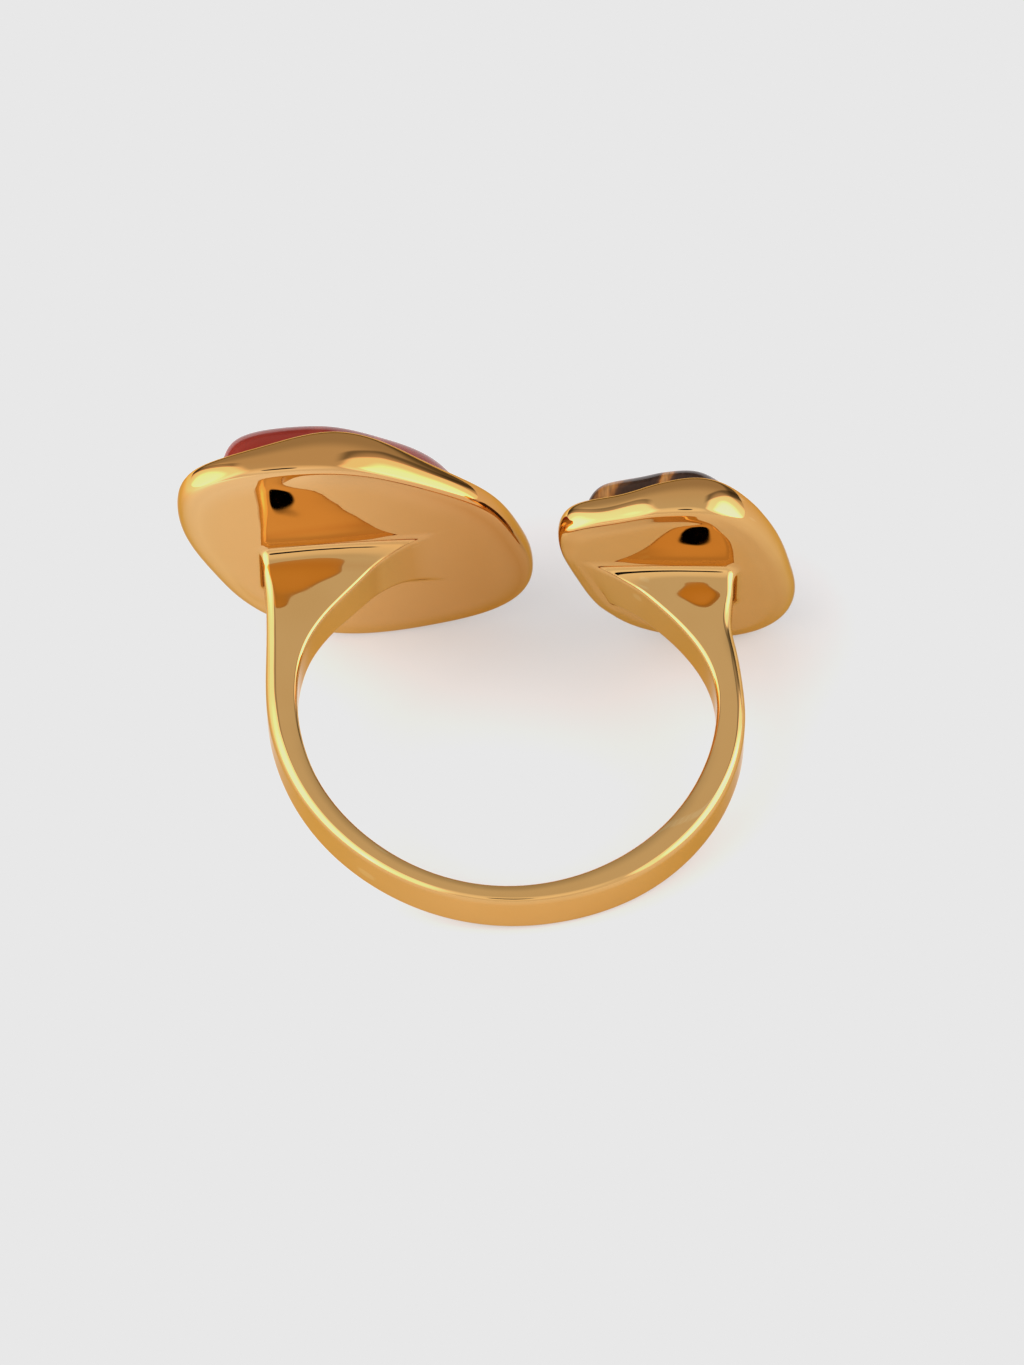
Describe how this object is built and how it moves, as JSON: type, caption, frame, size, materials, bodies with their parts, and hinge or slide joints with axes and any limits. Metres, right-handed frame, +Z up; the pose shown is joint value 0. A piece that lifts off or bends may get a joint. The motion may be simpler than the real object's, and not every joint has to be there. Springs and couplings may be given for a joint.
{
  "type": "adjustable open ring",
  "caption": "Open finger ring with a flat-backed wavy setting at each end of its shank, each holding a domed cabochon, lying on its side.",
  "frame": {"origin": "centre of the bounding box at the surface the ring lies on", "axes": "+Z up, +X from the large setting to the small one, +Y from the shank's back to the settings"},
  "size_m": [0.0252, 0.0214, 0.0142],
  "materials": {
    "gold_plate": "polished, gold plated",
    "red_agate": "polished",
    "tigers_eye": "polished"
  },
  "bodies": {
    "root": {"shank_and_settings": "gold_plate", "large_stone": "red_agate", "small_stone": "tigers_eye"}
  },
  "joints": []
}
